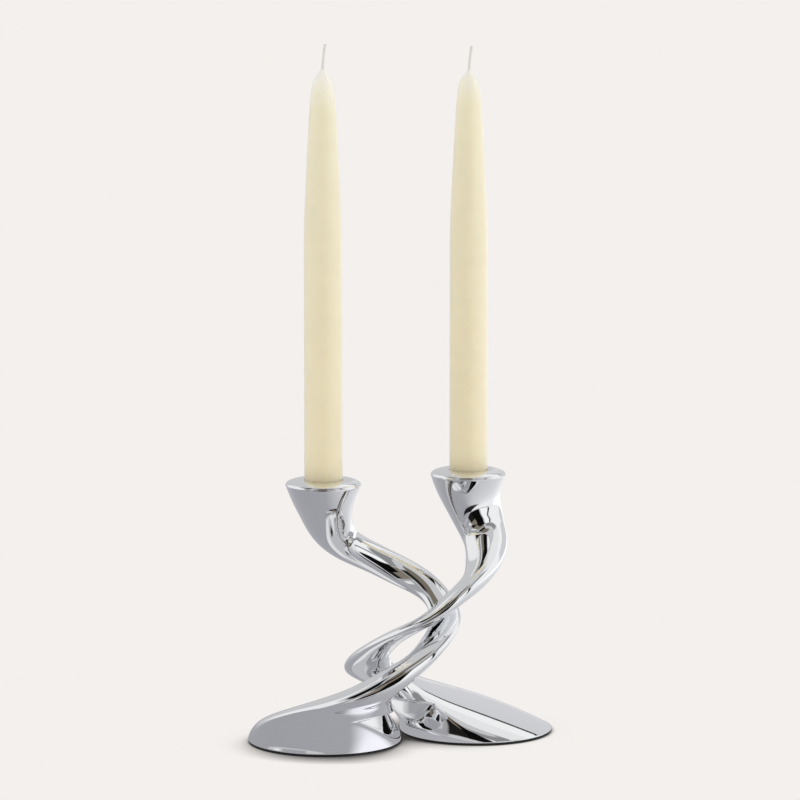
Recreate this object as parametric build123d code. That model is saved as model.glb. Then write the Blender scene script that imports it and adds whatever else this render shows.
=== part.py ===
"""A pair of nested spiral candlesticks, each one polished casting, with dinner candles.

Millimetres, +Z up. The origin is on the table, at the bottom centre of the whole pair.
The front, as it is usually seen, faces -Y.
"""
from build123d import *
import math
import os

# The foot and the pad under it
FOOT_RADIUS = 44.5
PAD_THICKNESS = 1.5
PAD_INSET = 0.8

# The heel: the foot's wall under the start of the stem leans in, and the stem overhangs it
HEEL_RADIUS = 80.0
HEEL_HEIGHT = 21.0
HEEL_TUCK = 6.0
HEEL_MARGIN = 0.7
HEEL_BEARING = 0.0
OVERHANG_RISE = 10.0
OVERHANG_REACH = 35.0

# How the second candlestick stands beside the first one
FOOT_GAP = 4.1
PAIR_BEARING = 19.1
PAIR_TURN = 264.5

# The stem's flattened section, and the height of the casting up to the edge of its rim
STEM_HALF_WIDTH = 9.0
STEM_HALF_THICKNESS = 3.7
RIM_HEIGHT = 150.3

# The cup: a crowned ledge around the candle, from a narrow flat land at the rim up to the socket's mouth
RIM_LEDGE = 11.0
LEDGE_RISE = 3.0
MOUTH_LIP = 0.8
RIM_LAND = 0.6
RIM_TRIM = 4.0
SOCKET_DEPTH = 16.6
SOCKET_CLEARANCE = 0.35

# The candles: straight, then a long taper to a rounded shoulder and a low cone
CANDLE_RADIUS = 11.0
CANDLE_LENGTH = 254.0
CANDLE_TAPER_LENGTH = 105.0
CANDLE_SHOULDER_RADIUS = 6.4
CANDLE_SHOULDER_DROP = 12.0
CANDLE_CONE_RADIUS = 4.75
CANDLE_CONE_HEIGHT = 5.9
RIGHT_CANDLE_TRIM = 4.5
WICK_RADIUS = 0.8
WICK_LENGTH = 14.0
WICK_LEAN = 1.6
WICK_CLEARANCE = 0.05

# Sizes that follow from the ones above
FOOT_SPACING = 2 * FOOT_RADIUS + FOOT_GAP
RIM_RADIUS = CANDLE_RADIUS + RIM_LEDGE
SOCKET_RADIUS = CANDLE_RADIUS + SOCKET_CLEARANCE
MOUTH_HEIGHT = RIM_HEIGHT + LEDGE_RISE
SOCKET_FLOOR = MOUTH_HEIGHT - SOCKET_DEPTH

# The stem winds once round an axis beside the foot. The loop is in step with the spacing of the
# feet, so that each stem still passes through the other one's loop when the feet move apart.
LOOP_RADIUS = 0.322 * FOOT_SPACING
LOOP_START = 142.0

# Hand points of the stem's centre line: degrees turned, loop radii from the axis, share of RIM_HEIGHT
STEM_POINTS = [
    (0, 1.53, 0.0),
    (20, 1.18, 0.084),
    (52, 1.0, 0.15),
    (83, 1.0, 0.207),
    (107.5, 1.03, 0.251),
    (132.5, 1.03, 0.308),
    (161.5, 1.0, 0.368),
    (192, 1.02, 0.435),
    (225.5, 1.13, 0.508),
    (263, 1.1, 0.599),
    (297.5, 1.12, 0.656),
    (321.5, 1.22, 0.702),
    (344.5, 1.42, 0.766),
    (360.5, 1.47, 0.87),
    (365, 1.45, 1.0),
]
STATIONS = 28
OVAL_POINTS = 16


def ease(value, start, end):
    """Smooth step from 0 to 1 while value goes from start to end."""
    x = min(max((value - start) / (end - start), 0.0), 1.0)
    return x ** 3 * (x * (6 * x - 15) + 10)


def share(value, start, end):
    """Straight ramp from 0 to 1 while value goes from start to end."""
    return min(max((value - start) / (end - start), 0.0), 1.0)


def loop_point(turn, radii):
    """Plan position on the loop, seen from the loop's axis."""
    angle = math.radians(LOOP_START + turn)
    return Vector(radii * LOOP_RADIUS * math.cos(angle), radii * LOOP_RADIUS * math.sin(angle), 0)


def stem_path():
    """Centre line from the middle of the foot to the middle of the rim."""
    foot = loop_point(STEM_POINTS[0][0], STEM_POINTS[0][1])
    points = [loop_point(turn, radii) - foot + Vector(0, 0, up * RIM_HEIGHT) for turn, radii, up in STEM_POINTS]
    return Spline(*points)


def half_width(level):
    """Half of the section's long axis at a share of the rim height."""
    foot = ((1 + math.cos(math.pi * share(level, 0.0, 0.375))) / 2) ** 0.89
    flare = share(level, 0.589, 1.0)
    cup = 0.95 * flare ** 1.3 + 0.05 * flare ** 8
    return STEM_HALF_WIDTH + (FOOT_RADIUS - STEM_HALF_WIDTH) * foot + (RIM_RADIUS - STEM_HALF_WIDTH) * cup


def half_thickness(level):
    """Half of the section's short axis at a share of the rim height."""
    foot = (1 - share(level, 0.0, 0.535)) ** 2.5
    flare = share(level, 0.522, 1.0)
    cup = 0.86 * flare ** 1.3 + 0.14 * flare ** 8
    span_foot = FOOT_RADIUS - STEM_HALF_THICKNESS
    return STEM_HALF_THICKNESS + span_foot * foot + (RIM_RADIUS - STEM_HALF_THICKNESS) * cup


def oval(plane, wide, thick, seam):
    """Closed ellipse on a plane, started in the direction of seam."""
    start = math.atan2(seam.dot(plane.y_dir) * wide, seam.dot(plane.x_dir) * thick)
    angles = [start + 2 * math.pi * i / OVAL_POINTS for i in range(OVAL_POINTS)]
    points = [(wide * math.cos(a), thick * math.sin(a)) for a in angles]
    return plane * make_face(Spline(*points, periodic=True))


def stem_sections(path):
    """Ovals along the centre line: flat at the foot and the rim, square to the stem between them.

    The seam direction is carried along from oval to oval without twist, so that the loft stays smooth
    while the long axis of the ovals turns with the stem.
    """
    sections = []
    heading = 0.0
    seam = Vector(1, 0, 0)
    for station in range(STATIONS + 1):
        centre = path @ (station / STATIONS)
        along = path % (station / STATIONS)
        level = min(max(centre.Z / RIM_HEIGHT, 0.0), 1.0)
        if level < 0.789:
            heading = math.atan2(along.Y, along.X)
        tipped = ease(level, 0.127, 0.495)
        follow = tipped * (1 - ease(level, 0.742, 0.916))
        climb = math.asin(along.Z) * follow + math.pi / 2 * (1 - follow)
        aim = heading - math.radians(17.5) * (1 - tipped)
        normal = Vector(math.cos(climb) * math.cos(aim), math.cos(climb) * math.sin(aim), math.sin(climb))
        across = Vector(math.sin(aim), -math.cos(aim), 0)
        roll = 30.5 * math.exp(-(((level - 0.642) / 0.07) ** 2))
        across = across.rotate(Axis((0, 0, 0), normal), -roll)
        plane = Plane(origin=centre, x_dir=across, z_dir=normal)
        seam = (seam - normal * seam.dot(normal)).normalized()
        sections.append(oval(plane, half_width(level), half_thickness(level), seam))
    return sections


def make_ledge():
    """Crowned ring on the cup: upright at its edge, level at the socket's mouth."""
    mouth = SOCKET_RADIUS + MOUTH_LIP
    edge = RIM_RADIUS - RIM_LAND
    with BuildPart() as ledge:
        with BuildSketch(Plane.XZ):
            with BuildLine():
                EllipticalCenterArc((mouth, RIM_HEIGHT), edge - mouth, LEDGE_RISE, arc_size=90)
                Line((mouth, MOUTH_HEIGHT), (0, MOUTH_HEIGHT))
                Line((0, MOUTH_HEIGHT), (0, RIM_HEIGHT))
                Line((0, RIM_HEIGHT), (edge, RIM_HEIGHT))
            make_face()
        revolve(axis=Axis.Z)
    return ledge.part


def make_heel():
    """All that lies outside the heel: outside its leaning wall, and below the overhang above it."""
    back = HEEL_RADIUS - FOOT_RADIUS - HEEL_MARGIN
    top = Pos(-back - HEEL_TUCK, 0, HEEL_HEIGHT)
    wall = loft([Pos(-back, 0, 0) * Circle(HEEL_RADIUS), top * Circle(HEEL_RADIUS)])
    widest = HEEL_RADIUS + OVERHANG_REACH
    overhang = top * Pos(0, 0, OVERHANG_RISE / 2) * Cone(HEEL_RADIUS, widest, OVERHANG_RISE)
    height = HEEL_HEIGHT + OVERHANG_RISE
    block = Pos(-back - HEEL_TUCK, 0, height / 2) * Cylinder(widest + 20, height)
    return Rot(0, 0, HEEL_BEARING) * (block - wall - overhang)


def make_casting(path):
    """Foot, spiral stem and cup as one solid, with the candle's socket.

    The loft runs on above the rim and is cut off there, so that the rim is truly flat.
    """
    sections = stem_sections(path)
    tall = loft(sections + [Pos(0, 0, RIM_TRIM) * sections[-1]])
    body = split(tall, bisect_by=Plane((0, 0, RIM_HEIGHT)), keep=Keep.BOTTOM)
    over_cup = Pos((path @ 1).X, (path @ 1).Y, 0)
    body = body - make_heel() + over_cup * make_ledge()
    return body - over_cup * Pos(0, 0, SOCKET_FLOOR + SOCKET_DEPTH) * Cylinder(SOCKET_RADIUS, 2 * SOCKET_DEPTH)


def make_pad():
    """Thin round pad under the foot."""
    return Pos(0, 0, PAD_THICKNESS / 2) * Cylinder(FOOT_RADIUS - PAD_INSET, PAD_THICKNESS)


def make_candle(length):
    """Dinner candle standing on the XY plane, with a bore for its wick."""
    shoulder = length - CANDLE_SHOULDER_DROP
    start = length - CANDLE_TAPER_LENGTH
    cone = length - CANDLE_CONE_HEIGHT
    bore = WICK_RADIUS + WICK_CLEARANCE
    middle = start + 0.57 * (shoulder - start)
    middle_radius = CANDLE_SHOULDER_RADIUS + 0.61 * (CANDLE_RADIUS - CANDLE_SHOULDER_RADIUS)
    cone_slope = (bore - CANDLE_CONE_RADIUS, CANDLE_CONE_HEIGHT)
    with BuildPart() as candle:
        with BuildSketch(Plane.XZ):
            with BuildLine():
                Line((bore, 0), (CANDLE_RADIUS, 0))
                Line((CANDLE_RADIUS, 0), (CANDLE_RADIUS, start))
                taper = Spline(
                    (CANDLE_RADIUS, start),
                    (middle_radius, middle),
                    (CANDLE_SHOULDER_RADIUS, shoulder),
                    tangents=((0, 1), (-0.14, 1)),
                )
                bend = Spline(taper @ 1, (CANDLE_CONE_RADIUS, cone), tangents=((-0.14, 1), cone_slope))
                Line(bend @ 1, (bore, length))
                Line((bore, length), (bore, 0))
            make_face()
        revolve(axis=Axis.Z)
    return candle.part


def make_wick(length):
    """Wick through the whole candle; its free end leans a little."""
    lean = Vector(WICK_LEAN, 0, length + WICK_LENGTH)
    core = Line((0, 0, 0), (0, 0, length))
    tip = Spline(core @ 1, lean, tangents=((0, 0, 1), (0.35, 0, 1)))
    return sweep(Circle(WICK_RADIUS), path=Wire([core, tip]))


def main():
    os.makedirs("parts", exist_ok=True)
    path = stem_path()
    rim = path @ 1
    casting = make_casting(path)
    pad = make_pad()
    bearing = math.radians(PAIR_BEARING)
    step = Vector(FOOT_SPACING * math.cos(bearing), FOOT_SPACING * math.sin(bearing), 0)
    rest = Pos(0, 0, PAD_THICKNESS)
    socket = Pos(rim.X, rim.Y, PAD_THICKNESS + SOCKET_FLOOR)
    upright = Rot(0, 0, -PAIR_TURN)

    left = Location()
    right = Pos(step.X, step.Y, 0) * Rot(0, 0, PAIR_TURN)
    pair = {
        "left_casting": left * rest * casting,
        "left_foot_pad": left * pad,
        "left_candle": left * socket * make_candle(CANDLE_LENGTH),
        "left_wick": left * socket * make_wick(CANDLE_LENGTH),
        "right_casting": right * rest * casting,
        "right_foot_pad": right * pad,
        "right_candle": right * socket * make_candle(CANDLE_LENGTH - RIGHT_CANDLE_TRIM),
        "right_wick": right * socket * upright * make_wick(CANDLE_LENGTH - RIGHT_CANDLE_TRIM),
    }
    box = Compound(list(pair.values())).bounding_box()
    origin = Pos(-(box.min.X + box.max.X) / 2, -(box.min.Y + box.max.Y) / 2, 0)
    for name, shape in pair.items():
        export_step(origin * shape, f"parts/{name}.step")
    print("origin shift", origin.position, "right foot", (origin * Pos(step)).position)


main()
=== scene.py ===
"""Dressed scene of a nested pair of spiral candlesticks with dinner candles.

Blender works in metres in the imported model's frame: +Z is up and the front faces -Y. The pieces keep
their sizes in millimetres, as a maker would state them, and the studio keeps its own in metres.
"""
from __future__ import annotations

import logging
import math
from dataclasses import dataclass, field
from enum import Enum
from typing import Any

import bpy
import numpy as np
from bpy.types import ID, Material, Mesh, Node, NodeSocket, NodeTree, Object
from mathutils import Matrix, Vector

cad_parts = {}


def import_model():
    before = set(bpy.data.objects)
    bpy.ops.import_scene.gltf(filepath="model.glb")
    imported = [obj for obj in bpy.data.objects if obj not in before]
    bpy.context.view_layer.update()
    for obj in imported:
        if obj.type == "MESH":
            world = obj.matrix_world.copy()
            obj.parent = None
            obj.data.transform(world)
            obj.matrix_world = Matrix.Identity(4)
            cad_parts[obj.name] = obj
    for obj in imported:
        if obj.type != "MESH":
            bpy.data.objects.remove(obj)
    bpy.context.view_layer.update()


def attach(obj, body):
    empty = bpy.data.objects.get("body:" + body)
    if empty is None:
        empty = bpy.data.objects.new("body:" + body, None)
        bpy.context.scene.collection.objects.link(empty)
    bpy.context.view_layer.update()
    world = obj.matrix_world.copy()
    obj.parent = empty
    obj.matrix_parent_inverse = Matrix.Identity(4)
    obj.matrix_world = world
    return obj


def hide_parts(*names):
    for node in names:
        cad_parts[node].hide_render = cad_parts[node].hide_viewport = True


MM = 0.001
# Points nearer to each other than this, in metres, are one point.
SEAM = 2e-6
# Smallest length that a division may meet, in metres.
TINY = 1e-6
# Radius in metres of a heel so wide that it cuts nothing.
NO_HEEL = 1.0
LOG = logging.getLogger("candlesticks")

MATH = "ShaderNodeMath"
VECTOR = "ShaderNodeVectorMath"
RANGE = "ShaderNodeMapRange"

Pairs = tuple[tuple[float, float], ...]
Rows = tuple[np.ndarray, np.ndarray, np.ndarray]


def linear(hex_colour: str) -> tuple[float, float, float, float]:
    """Turn an sRGB hex colour into linear RGBA.

    Args:
        hex_colour: Six hex digits with a leading hash.

    Returns:
        Linear red, green, blue and an alpha of one.
    """
    parts = [int(hex_colour[i : i + 2], 16) / 255 for i in (1, 3, 5)]
    red, green, blue = [p / 12.92 if p <= 0.04045 else ((p + 0.055) / 1.055) ** 2.4 for p in parts]
    return red, green, blue, 1.0


def add_node(
    tree: NodeTree,
    kind: str,
    settings: dict[str | int, Any] | None = None,
    links: dict[str | int, Any] | None = None,
) -> Node:
    """Add one node, set its properties and input values, and link its inputs.

    Args:
        tree: Tree that gets the node.
        kind: Node type name.
        settings: Property names, or input names and numbers, with their values.
        links: Input names or numbers with what feeds them: a socket, or a node for its first output.

    Returns:
        The new node.
    """
    made = tree.nodes.new(kind)
    for key, value in (settings or {}).items():
        if isinstance(key, str) and hasattr(made, key):
            setattr(made, key, value)
        else:
            made.inputs[key].default_value = value
    for key, source in (links or {}).items():
        output = source.outputs[0] if isinstance(source, Node) else source
        tree.links.new(output, made.inputs[key])
    return made


def set_stops(ramp_node: Node, stops: dict[float, str]) -> None:
    """Colour a ramp that has its two first stops at 0 and 1.

    Args:
        ramp_node: Colour ramp node.
        stops: Hex colour at each share of the ramp.
    """
    elements = ramp_node.color_ramp.elements
    for share, colour in stops.items():
        found = [element for element in elements if element.position == share]
        stop = found[0] if found else elements.new(share)
        stop.color = linear(colour)


def new_material(name: str) -> tuple[Material, NodeTree]:
    """Make an empty node material.

    Args:
        name: Name of the real material.

    Returns:
        The material and its cleared node tree.
    """
    material = bpy.data.materials.new(name)
    material.use_nodes = True
    material.node_tree.nodes.clear()
    return material, material.node_tree


def add_object(name: str, data: ID) -> Object:
    """Put a mesh, lamp or camera into the scene at the origin.

    Args:
        name: Name of the object.
        data: What the object shows or is.

    Returns:
        The new object.
    """
    made = bpy.data.objects.new(name, data)
    bpy.context.scene.collection.objects.link(made)
    return made


class Side(Enum):
    """Which of the two candlesticks a piece belongs to."""

    LEFT = "left"
    RIGHT = "right"


@dataclass(frozen=True)
class Relief:
    """A cloudy pattern of a real size, and the faint bump that it raises."""

    size_mm: float
    detail: float
    strength: float
    depth_mm: float
    roughness: float = 0.5

    def build(self, tree: NodeTree) -> tuple[Node, Node]:
        """Add the pattern and its bump to a material.

        Args:
            tree: Node tree of the material.

        Returns:
            The pattern's node and the bump's node.
        """
        place = add_node(tree, "ShaderNodeTexCoord")
        grain = {"Scale": 1 / (self.size_mm * MM), "Detail": self.detail, "Roughness": self.roughness}
        cloud = add_node(tree, "ShaderNodeTexNoise", grain, {"Vector": place.outputs["Object"]})
        depth = {"Strength": self.strength, "Distance": self.depth_mm * MM}
        return cloud, add_node(tree, "ShaderNodeBump", depth, {"Height": cloud})


@dataclass(frozen=True)
class PolishedAluminium:
    """Sand-cast aluminium, ground and buffed by hand to a mirror."""

    # To the eye it is a mirror whose reflections run like liquid over the long faint waves that hand
    # grinding leaves. The haze of buffing is finer than a pixel, so it is drawn coarse, in 4 mm patches.
    colour: str = "#F1F2F3"
    roughness: float = 0.03
    haze: float = 0.03
    haze_mm: float = 4.0
    haze_detail: float = 4.0
    waves: Relief = Relief(size_mm=26.0, detail=1.0, strength=0.05, depth_mm=1.2, roughness=0.4)

    def build(self) -> Material:
        """Build the mirror finish of the castings.

        Returns:
            The metal.
        """
        material, tree = new_material("Buffed cast aluminium")
        bump = self.waves.build(tree)[1]
        place = add_node(tree, "ShaderNodeTexCoord")
        patches = {"Scale": 1 / (self.haze_mm * MM), "Detail": self.haze_detail}
        haze = add_node(tree, "ShaderNodeTexNoise", patches, {"Vector": place.outputs["Object"]})
        spread = {"To Min": self.roughness, "To Max": self.roughness + self.haze}
        rough = add_node(tree, RANGE, spread, {"Value": haze})
        mirror = {"Base Color": linear(self.colour), "Metallic": 1.0}
        shader = add_node(tree, "ShaderNodeBsdfPrincipled", mirror, {"Roughness": rough, "Normal": bump})
        add_node(tree, "ShaderNodeOutputMaterial", {}, {"Surface": shader})
        return material


@dataclass(frozen=True)
class CandleWax:
    """Poured stearin wax, drawn from its mould and rubbed smooth."""

    # To the eye it is ivory that light soaks a few millimetres into, a little cloudy, with a soft gloss. It
    # is darker and warmer just above the cup, which is painted shade where the cup shades the wax, and
    # palest towards the tip. Its crystals are finer than a pixel, so they are drawn coarse, 0.7 mm wide.
    cup_shade_colour: str = "#E9DDB8"
    body_colour: str = "#EEE6C8"
    upper_colour: str = "#EDE8D0"
    tip_colour: str = "#F4F3ED"
    foot_height_mm: float = 151.0
    tip_height_mm: float = 392.0
    body_share: float = 0.06
    upper_share: float = 0.9
    cloud_mm: float = 9.0
    cloud_detail: float = 3.0
    cloud_roughness: float = 0.55
    cloud_dark: float = 0.95
    cloud_light: float = 1.03
    crystals: Relief = Relief(size_mm=0.7, detail=2.0, strength=0.12, depth_mm=0.2)
    roughness: float = 0.42
    ior: float = 1.43
    soak: float = 0.8
    soak_mm: tuple[float, float, float] = (10.0, 9.0, 7.5)
    sheen: float = 1.0
    sheen_roughness: float = 0.3
    coat: float = 0.6
    coat_roughness: float = 0.35

    def build(self) -> Material:
        """Build the wax of the candles.

        Returns:
            The wax.
        """
        material, tree = new_material("Stearin candle wax")
        bump = self.crystals.build(tree)[1]
        place = add_node(tree, "ShaderNodeTexCoord").outputs["Object"]
        split = add_node(tree, "ShaderNodeSeparateXYZ", {}, {"Vector": place})
        span = {"From Min": self.foot_height_mm * MM, "From Max": self.tip_height_mm * MM}
        level = add_node(tree, RANGE, span, {"Value": split.outputs["Z"]})
        tone = add_node(tree, "ShaderNodeValToRGB", {}, {"Fac": level})
        # The lowest stop is painted shade, where the cup shades the wax just above it.
        stops = {0.0: self.cup_shade_colour, 1.0: self.tip_colour}
        set_stops(tone, stops | {self.body_share: self.body_colour, self.upper_share: self.upper_colour})
        drift = {"Scale": 1 / (self.cloud_mm * MM), "Detail": self.cloud_detail}
        drift["Roughness"] = self.cloud_roughness
        cloud = add_node(tree, "ShaderNodeTexNoise", drift, {"Vector": place})
        veil = {"To Min": self.cloud_dark, "To Max": self.cloud_light}
        shade = add_node(tree, RANGE, veil, {"Value": cloud})
        tinted = add_node(tree, "ShaderNodeHueSaturation", {}, {"Value": shade, "Color": tone})
        touch = {
            "Roughness": self.roughness,
            "IOR": self.ior,
            "Subsurface Weight": self.soak,
            "Subsurface Radius": tuple(depth * MM for depth in self.soak_mm),
            "Subsurface Scale": 1.0,
            "Sheen Weight": self.sheen,
            "Sheen Roughness": self.sheen_roughness,
            "Coat Weight": self.coat,
            "Coat Roughness": self.coat_roughness,
        }
        shader = add_node(tree, "ShaderNodeBsdfPrincipled", touch, {"Base Color": tinted, "Normal": bump})
        add_node(tree, "ShaderNodeOutputMaterial", {}, {"Surface": shader})
        return material


@dataclass(frozen=True)
class GrainedFinish:
    """A dull finish in two colours that follow its grain: darker where the grain sinks, which is painted
    shade in its hollows.
    """

    name: str
    hollow_shade: str
    pale: str
    grain: Relief
    roughness: float
    sheen: float

    def build(self) -> Material:
        """Build the finish.

        Returns:
            The material.
        """
        material, tree = new_material(self.name)
        grain, bump = self.grain.build(tree)
        # The darker stop falls where the grain sinks: painted shade in its hollows.
        tone = add_node(tree, "ShaderNodeValToRGB", {}, {"Fac": grain})
        set_stops(tone, {0.0: self.hollow_shade, 1.0: self.pale})
        touch = {"Roughness": self.roughness, "Sheen Weight": self.sheen}
        shader = add_node(tree, "ShaderNodeBsdfPrincipled", touch, {"Base Color": tone, "Normal": bump})
        add_node(tree, "ShaderNodeOutputMaterial", {}, {"Surface": shader})
        return material


@dataclass(frozen=True)
class CottonWick(GrainedFinish):
    """Cotton yarn, twisted and primed with wax."""

    # To the eye it is pale and dull, a little darker between its fibres, which is painted shade. Those are
    # finer than a pixel, so they are drawn coarse, 0.35 mm wide.
    name: str = "Waxed twisted cotton"
    hollow_shade: str = "#D9D6D1"
    pale: str = "#F0EEEB"
    grain: Relief = Relief(size_mm=0.35, detail=4.0, strength=0.4, depth_mm=0.2)
    roughness: float = 0.8
    sheen: float = 0.3


@dataclass(frozen=True)
class FootRubber(GrainedFinish):
    """Black rubber sheet, pressed against fabric and die-cut."""

    # To the eye it is a dull black line under the foot, with a fine grain from the fabric; the grain's
    # hollows are darker, which is painted shade.
    name: str = "Black sheet rubber"
    hollow_shade: str = "#121212"
    pale: str = "#232322"
    grain: Relief = Relief(size_mm=0.6, detail=3.0, strength=0.3, depth_mm=0.2)
    roughness: float = 0.85
    sheen: float = 0.0


def new_tree(name: str, inputs: dict[str, str], output: str) -> NodeTree:
    """Make an empty Geometry Nodes tree with named inputs.

    Args:
        name: Name of the tree.
        inputs: Name and kind of each input, such as Float or Material.
        output: Name of the shape that it gives out.

    Returns:
        The tree.
    """
    tree = bpy.data.node_groups.new(name, "GeometryNodeTree")
    for label, kind in inputs.items():
        tree.interface.new_socket(label, in_out="INPUT", socket_type="NodeSocket" + kind)
    tree.interface.new_socket(output, in_out="OUTPUT", socket_type="NodeSocketGeometry")
    return tree


def close_tree(tree: NodeTree, shape: Node, finish: NodeSocket) -> None:
    """End a tree in a smooth shape with no instances and its finish on every face.

    Args:
        tree: Tree to end.
        shape: Node that gives the shape.
        finish: Input that holds the material.
    """
    smooth = add_node(tree, "GeometryNodeSetShadeSmooth", {}, {0: shape})
    plain = add_node(tree, "GeometryNodeRealizeInstances", {}, {0: smooth})
    dressed = add_node(tree, "GeometryNodeSetMaterial", {}, {"Geometry": plain, "Material": finish})
    add_node(tree, "NodeGroupOutput", {}, {0: dressed})


def skin_tree() -> NodeTree:
    """Build the node tree that skins a row of ovals.

    Each vertex of the incoming mesh is one oval: its position is the centre, and the attributes first
    and second are the oval's two half axes. The heel is a round leaning wall that opens out above its
    height, and points beyond it are drawn in to it. The result is a closed smooth skin.

    Returns:
        The Geometry Nodes tree, with inputs Stations, Sides, Heel middle, Heel lean, Heel radius, Heel
        height, Heel softness, Overhang and Finish.
    """
    inputs = {"Stations": "Geometry", "Sides": "Int", "Heel middle": "Vector", "Heel lean": "Vector"}
    inputs |= {name: "Float" for name in ("Heel radius", "Heel height", "Heel softness", "Overhang")}
    tree = new_tree("Oval skin", inputs | {"Finish": "Material"}, "Skin")
    given = add_node(tree, "NodeGroupInput").outputs
    stations = given["Stations"]
    size = add_node(tree, "GeometryNodeAttributeDomainSize", {"component": "MESH"}, {0: stations})
    count = size.outputs["Point Count"]
    columns = add_node(tree, MATH, {"operation": "ADD", 1: 1.0}, {0: given["Sides"]})
    spread = {"Size X": 1.0, "Size Y": 1.0}
    sheet = add_node(tree, "GeometryNodeMeshGrid", spread, {"Vertices X": count, "Vertices Y": columns})
    # The flat sheet's X says which oval a point belongs to, and its Y how far round that oval it lies.
    spot = add_node(tree, "GeometryNodeInputPosition")
    split = add_node(tree, "ShaderNodeSeparateXYZ", {}, {0: spot})
    last = add_node(tree, MATH, {"operation": "SUBTRACT", 1: 1.0}, {0: count})
    along = add_node(tree, MATH, {"operation": "ADD", 1: 0.5}, {0: split.outputs["X"]})
    row = add_node(tree, MATH, {"operation": "MULTIPLY"}, {0: along, 1: last})
    index = add_node(tree, MATH, {"operation": "ROUND"}, {0: row})
    around = add_node(tree, MATH, {"operation": "ADD", 1: 0.5}, {0: split.outputs["Y"]})
    angle = add_node(tree, MATH, {"operation": "MULTIPLY", 1: 2 * math.pi}, {0: around})
    cosine = add_node(tree, MATH, {"operation": "COSINE"}, {0: angle})
    sine = add_node(tree, MATH, {"operation": "SINE"}, {0: angle})
    fields = [add_node(tree, "GeometryNodeInputPosition").outputs[0]]
    for name in ("first", "second"):
        named = {"data_type": "FLOAT_VECTOR", "Name": name}
        fields.append(add_node(tree, "GeometryNodeInputNamedAttribute", named).outputs["Attribute"])
    centre, first, second = [
        add_node(
            tree,
            "GeometryNodeSampleIndex",
            {"data_type": "FLOAT_VECTOR", "domain": "POINT"},
            {"Geometry": stations, "Value": value, "Index": index},
        ).outputs["Value"]
        for value in fields
    ]
    one = add_node(tree, VECTOR, {"operation": "SCALE"}, {0: first, "Scale": cosine})
    two = add_node(tree, VECTOR, {"operation": "SCALE"}, {0: second, "Scale": sine})
    arm = add_node(tree, VECTOR, {"operation": "ADD"}, {0: one, 1: two})
    point = add_node(tree, VECTOR, {"operation": "ADD"}, {0: centre, 1: arm})
    # How far the point lies from the heel's leaning axis, and how far it may.
    away = add_node(tree, VECTOR, {"operation": "SUBTRACT"}, {0: point, 1: given["Heel middle"]})
    height = add_node(tree, "ShaderNodeSeparateXYZ", {}, {0: away}).outputs["Z"]
    low = add_node(tree, MATH, {"operation": "MINIMUM"}, {0: height, 1: given["Heel height"]})
    leant = add_node(tree, VECTOR, {"operation": "SCALE"}, {0: given["Heel lean"], "Scale": low})
    beside = add_node(tree, VECTOR, {"operation": "SUBTRACT"}, {0: away, 1: leant})
    flat = add_node(tree, VECTOR, {"operation": "MULTIPLY", 1: (1, 1, 0)}, {0: beside})
    reach = add_node(tree, VECTOR, {"operation": "LENGTH"}, {0: flat}).outputs["Value"]
    above = add_node(tree, MATH, {"operation": "SUBTRACT"}, {0: height, 1: low})
    wall = {0: above, 1: given["Overhang"], 2: given["Heel radius"]}
    limit = add_node(tree, MATH, {"operation": "MULTIPLY_ADD"}, wall)
    soft = {0: reach, 1: limit, 2: given["Heel softness"]}
    held = add_node(tree, MATH, {"operation": "SMOOTH_MIN"}, soft)
    guard = add_node(tree, MATH, {"operation": "MAXIMUM", 1: TINY}, {0: reach})
    ratio = add_node(tree, MATH, {"operation": "DIVIDE"}, {0: held, 1: guard})
    back = add_node(tree, MATH, {"operation": "SUBTRACT", 1: 1.0}, {0: ratio})
    pull = add_node(tree, VECTOR, {"operation": "SCALE"}, {0: flat, "Scale": back})
    kept = add_node(tree, VECTOR, {"operation": "ADD"}, {0: point, 1: pull})
    moved = add_node(tree, "GeometryNodeSetPosition", {}, {"Geometry": sheet, "Position": kept})
    closed = add_node(tree, "GeometryNodeMergeByDistance", {"Distance": SEAM}, {"Geometry": moved})
    close_tree(tree, closed, given["Finish"])
    return tree


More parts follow.
